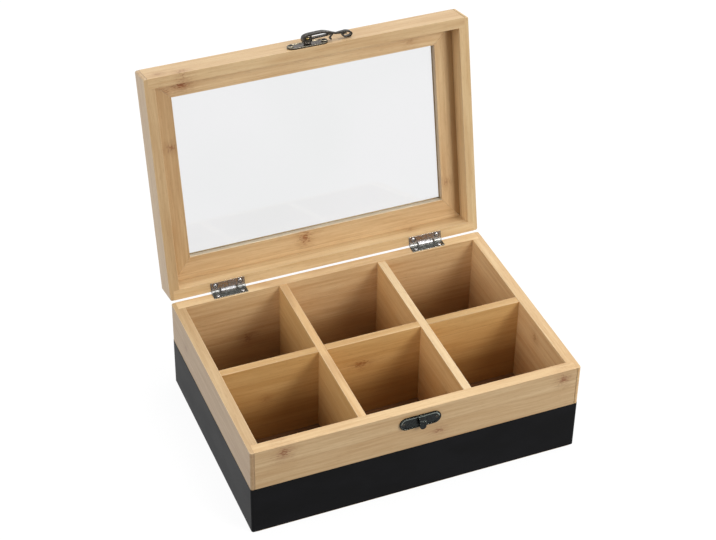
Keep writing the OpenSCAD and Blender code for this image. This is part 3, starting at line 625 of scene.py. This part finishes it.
def hingePaintedLight(tree, shut, knuckleHighlight):
    # painted shade at the knuckles' ends, along the leaves' ends and round the nails, the middle of the nail
    # heads darker too, and a painted highlight along the knuckles
    spot = addNode(tree, "ShaderNodeSeparateXYZ", {0: inMillimetres(tree, shut)}).outputs
    fromMiddle = awayFrom(tree, calc(tree, "ABSOLUTE", spot["X"]), hingeAt["hingeMiddle"])
    pinIn = awayFrom(tree, spot["Y"], hingeAt["pinY"])
    pinUp = awayFrom(tree, spot["Z"], hingeAt["pinZ"])
    fromPin = lengthOf(tree, pinIn, pinUp)
    notches = remap(tree, awayFrom(tree, fromMiddle, hingeAt["knuckleEnd"]), 0.5, 0.95, 1.0, 0.0)
    notches = calc(tree, "MULTIPLY", notches, remap(tree, fromPin, 1.6, 1.9, 1.0, 0.0))
    ends = remap(tree, fromMiddle, hingeAt["leafEnd"] - 0.9, hingeAt["leafEnd"] - 0.2)
    nailAlong = awayFrom(tree, fromMiddle, hingeAt["nailOver"])
    nailIn = awayFrom(tree, spot["Y"], hingeAt["nailY"])
    fromNail = lengthOf(tree, nailAlong, nailIn)
    rings = remap(tree, awayFrom(tree, fromNail, hingeAt["nailRing"]), 0.2, 0.55, 1.0, 0.0)
    hearts = remap(tree, fromNail, 0.3, 0.6, 1.0, 0.0)
    atNails = calc(tree, "MAXIMUM", rings, hearts)
    paintedShadeSpots = calc(tree, "MAXIMUM", calc(tree, "MAXIMUM", notches, ends), atNails)
    # a painted highlight on the knuckles, round the pin
    paintedHighlight = remap(tree, fromPin, 1.3, 1.75, knuckleHighlight, 0.0)
    return paintedShadeSpots, calc(tree, "SUBTRACT", paintedHighlight, notches)


def platePaintedLight(tree, shut, middle):
    # a clasp plate gets a painted shadow along its outline, and a painted highlight along a line inside its
    # rim, brightest at the top
    spot = addNode(tree, "ShaderNodeSeparateXYZ", {0: inMillimetres(tree, shut)}).outputs
    fromMiddle = calc(tree, "ABSOLUTE", spot["X"])
    along = calc(tree, "MAXIMUM", calc(tree, "SUBTRACT", fromMiddle, clasp["straight"]), 0.0)
    up = calc(tree, "SUBTRACT", spot["Z"], middle)
    inside = calc(tree, "SUBTRACT", clasp["endRadius"], lengthOf(tree, along, up))
    outline = remap(tree, inside, 0.5, 0.85, 0.9, 0.0)
    line = remap(tree, awayFrom(tree, inside, clasp["lineIn"]), 0.2, 0.6, 1.0, 0.0)
    return outline, calc(tree, "MULTIPLY", line, remap(tree, up, -2.5, 3.0, 0.2, 1.0))


def makeFitting(name, fitting, material):
    steps = fitting.get("steps", 2)
    piece = roundedPiece(name, fitting["node"], fitting["round"], steps=steps, hull=False, sharpest=35)
    toClosed = closedPlace(bodyOf[fitting["node"]])
    shut = piece.data.attributes.new("shutPos", "FLOAT_VECTOR", "POINT")
    for index, vert in enumerate(piece.data.vertices):
        shut.data[index].vector = toClosed @ vert.co
    piece.data.materials.append(material)
    return piece


# places on a hinge and on the clasp's plates, in millimetres on the closed box
hingeAt = {"hingeMiddle": 77.0, "pinY": 83.6, "pinZ": 72.5, "knuckleEnd": 6.15, "leafEnd": 12.75,
           "nailOver": 9.35, "nailY": 79.3, "nailRing": 1.7}
clasp = {"straight": 10.0, "endRadius": 5.0, "lineIn": 1.15, "catchMiddle": 62.1, "hookMiddle": 79.3}

nickel = {"skin": tint(206, 206, 208), "darkening": tint(56, 50, 42), "bare": tint(238, 238, 238),
          "mottle": 0.5, "gloss": 0.16, "relief": 0.16}
nickelPlate = metalMaterial("nickel plate", nickel, hingePaintedLight, 0.0)
# the box leaves are darker than the lid leaves, with a painted highlight on their knuckles
greyNickel = {**nickel, "skin": tint(112, 114, 110), "mottle": 0.7}
darkerNickel = metalMaterial("darker nickel plate", greyNickel, hingePaintedLight, 0.6)

for side in ("left", "right"):
    boxLeaf = {"node": side + "_hinge_box_leaf", "round": 0.00014, "slot": "hinge_metal"}
    makeFitting(side + "HingeBoxLeaf", boxLeaf, darkerNickel)
    lidLeaf = {"node": side + "_hinge_lid_leaf", "round": 0.00014, "slot": "hinge_metal"}
    makeFitting(side + "HingeLidLeaf", lidLeaf, nickelPlate)
    hingePin = {"node": side + "_hinge_pin", "round": 0.00015, "slot": "hinge_metal"}
    makeFitting(side + "HingePin", hingePin, nickelPlate)
boxHingeNails = {"node": "box_hinge_nails", "round": 0.00008, "slot": "hinge_metal"}
makeFitting("boxHingeNails", boxHingeNails, nickelPlate)
lidHingeNails = {"node": "lid_hinge_nails", "round": 0.00008, "slot": "hinge_metal"}
makeFitting("lidHingeNails", lidHingeNails, nickelPlate)
print("Hinges made")

bronze = {"skin": tint(66, 62, 56), "darkening": tint(26, 23, 20), "bare": tint(182, 174, 154),
          "mottle": 0.75, "gloss": 0.2, "relief": 0.2}
agedBronze = metalMaterial("aged bronze", bronze)
# the catch's skin is darker than the other bronze: a painted dark reflection in its flat face
darkBronze = {**bronze, "skin": tint(46, 49, 49), "bare": tint(158, 166, 158)}
catchBronze = metalMaterial("aged bronze of the catch with painted light and shade", darkBronze, platePaintedLight, clasp["catchMiddle"])
catchPlate = {"node": "catch_plate", "round": 0.0003, "steps": 3, "slot": "clasp_metal"}
makeFitting("catchPlate", catchPlate, catchBronze)
catchNails = {"node": "catch_nails", "round": 0.0001, "slot": "clasp_metal"}
makeFitting("catchNails", catchNails, agedBronze)
paleBronze = {**bronze, "skin": tint(104, 96, 90)}
hookPlateBronze = metalMaterial("aged bronze of the hook's plate", paleBronze, platePaintedLight, clasp["hookMiddle"])
hookPlate = {"node": "hook_plate", "round": 0.0003, "steps": 3, "slot": "clasp_metal"}
makeFitting("hookPlate", hookPlate, hookPlateBronze)
hookPlateStuds = {"node": "hook_plate_nails", "round": 0.0003, "steps": 3, "slot": "clasp_metal"}
makeFitting("hookPlateStuds", hookPlateStuds, agedBronze)
hook = {"node": "hook", "round": 0.0004, "steps": 2, "slot": "clasp_metal"}
makeFitting("swivelHook", hook, agedBronze)

brass = {"skin": tint(196, 164, 96), "darkening": tint(96, 76, 44), "bare": tint(228, 204, 140),
         "mottle": 0.6, "gloss": 0.25, "relief": 0.3}
hookRivet = {"node": "hook_rivet", "round": 0.00015, "slot": "rivet_metal"}
makeFitting("hookRivet", hookRivet, metalMaterial("brass", brass))
print("Clasp made")


windowPane = {"node": "window_pane", "tones": (tint(231, 232, 232), tint(234, 234, 235)),
              "shade": tint(240, 241, 241), "ior": 1.33}


def paneMaterial():
    material, tree, output = newMaterial("clear pane")
    place = addNode(tree, "ShaderNodeTexCoord").outputs["Object"]
    mm = inMillimetres(tree, place)
    haze = remap(tree, noiseAt(tree, mm, (0.03, 0.03, 0.03), 3.0), 0.35, 0.75, 0.0, 0.03)
    waves = noiseAt(tree, mm, (0.01, 0.01, 0.01), 1.0)
    bump = addNode(tree, "ShaderNodeBump", {"Strength": 0.03, "Distance": 0.0005, "Height": waves})
    color = mixTint(tree, remap(tree, waves, 0.3, 0.7), *windowPane["tones"])
    glass = addNode(tree, "ShaderNodeBsdfPrincipled", {
        "Base Color": color, "Roughness": haze, "Normal": bump.outputs[0],
        "Transmission Weight": 1.0, "IOR": windowPane["ior"]})
    clear = addNode(tree, "ShaderNodeBsdfTransparent", {"Color": windowPane["shade"]})
    # light goes through to the tea bags' compartments
    rays = addNode(tree, "ShaderNodeLightPath").outputs
    passes = calc(tree, "MAXIMUM", rays["Is Shadow Ray"], rays["Is Diffuse Ray"])
    mixed = addNode(tree, "ShaderNodeMixShader", {0: passes, 1: glass.outputs[0], 2: clear.outputs[0]})
    tree.links.new(mixed.outputs[0], output.inputs[0])
    return material


pane = frame["nodes"][windowPane["node"]]
pane.data.materials.clear()
pane.data.materials.append(paneMaterial())
print("Pane glazed")


floorLook = {"size": 8.0, "own": 0.12, "glow": 0.92}
floorMesh = bpy.data.meshes.new("floor")
floorBm = bmesh.new()
bmesh.ops.create_grid(floorBm, x_segments=1, y_segments=1, size=floorLook["size"] / 2)
floorBm.to_mesh(floorMesh)
floorBm.free()
floor = bpy.data.objects.new("floor", floorMesh)
floor.location = (0, 0, -0.0001)
scene.collection.objects.link(floor)


def seenRays(tree):
    rays = addNode(tree, "ShaderNodeLightPath").outputs
    seen = calc(tree, "MAXIMUM", rays["Is Camera Ray"], rays["Is Glossy Ray"])
    return calc(tree, "MAXIMUM", seen, rays["Is Transmission Ray"])


def floorMaterial():
    material, tree, output = newMaterial("pale floor")
    plain = addNode(tree, "ShaderNodeBsdfDiffuse", {"Color": (0.30, 0.30, 0.30, 1)})
    shaded = addNode(tree, "ShaderNodeBsdfDiffuse", {"Color": (floorLook["own"],) * 3 + (1,)})
    glow = addNode(tree, "ShaderNodeEmission", {"Color": (1, 1, 1, 1), "Strength": floorLook["glow"]})
    seen = addNode(tree, "ShaderNodeAddShader", {0: shaded.outputs[0], 1: glow.outputs[0]})
    shaders = {0: seenRays(tree), 1: plain.outputs[0], 2: seen.outputs[0]}
    mixed = addNode(tree, "ShaderNodeMixShader", shaders)
    tree.links.new(mixed.outputs[0], output.inputs[0])
    return material


floorMesh.materials.append(floorMaterial())

sky = {"light": 0.50, "seen": 1.0, "color": (0.96, 0.985, 1.03, 1)}
world = bpy.data.worlds.new("soft room")
scene.world = world
world.use_nodes = True
skyTree = world.node_tree
skyTree.nodes.clear()
seenSky = seenRays(skyTree)
strength = remap(skyTree, seenSky, 0.0, 1.0, sky["light"], sky["seen"], smooth=False)
skyTint = mixTint(skyTree, seenSky, sky["color"], (1, 1, 1, 1))
background = addNode(skyTree, "ShaderNodeBackground", {"Color": skyTint, "Strength": strength})
skyTree.links.new(background.outputs[0], addNode(skyTree, "ShaderNodeOutputWorld").inputs[0])

lamps = {
    "overhead": {"place": (0.5, 0.5, 1.95), "target": (0, 0, 0.08), "size": 1.1, "power": 17,
                 "color": (1, 0.98, 0.95)},
    "frontRight": {"place": (0.77, -1.1, 0.92), "target": (0.02, 0, 0.1), "size": 0.6, "power": 11.4,
                   "color": (1, 0.97, 0.93)},
    "left": {"place": (-1.8, -0.25, 0.9), "target": (0, 0, 0.08), "size": 1.0, "power": 8.2,
             "color": (1, 0.99, 0.98)},
}
for name, lamp in lamps.items():
    light = bpy.data.lights.new(name, "AREA")
    light.shape = "SQUARE"
    light.size = lamp["size"]
    light.energy = lamp["power"]
    light.color = lamp["color"]
    holder = bpy.data.objects.new(name, light)
    holder.location = lamp["place"]
    aim = Vector(lamp["target"]) - Vector(lamp["place"])
    holder.rotation_euler = aim.to_track_quat("-Z", "Y").to_euler()
    scene.collection.objects.link(holder)
print("Floor, sky and lamps set")
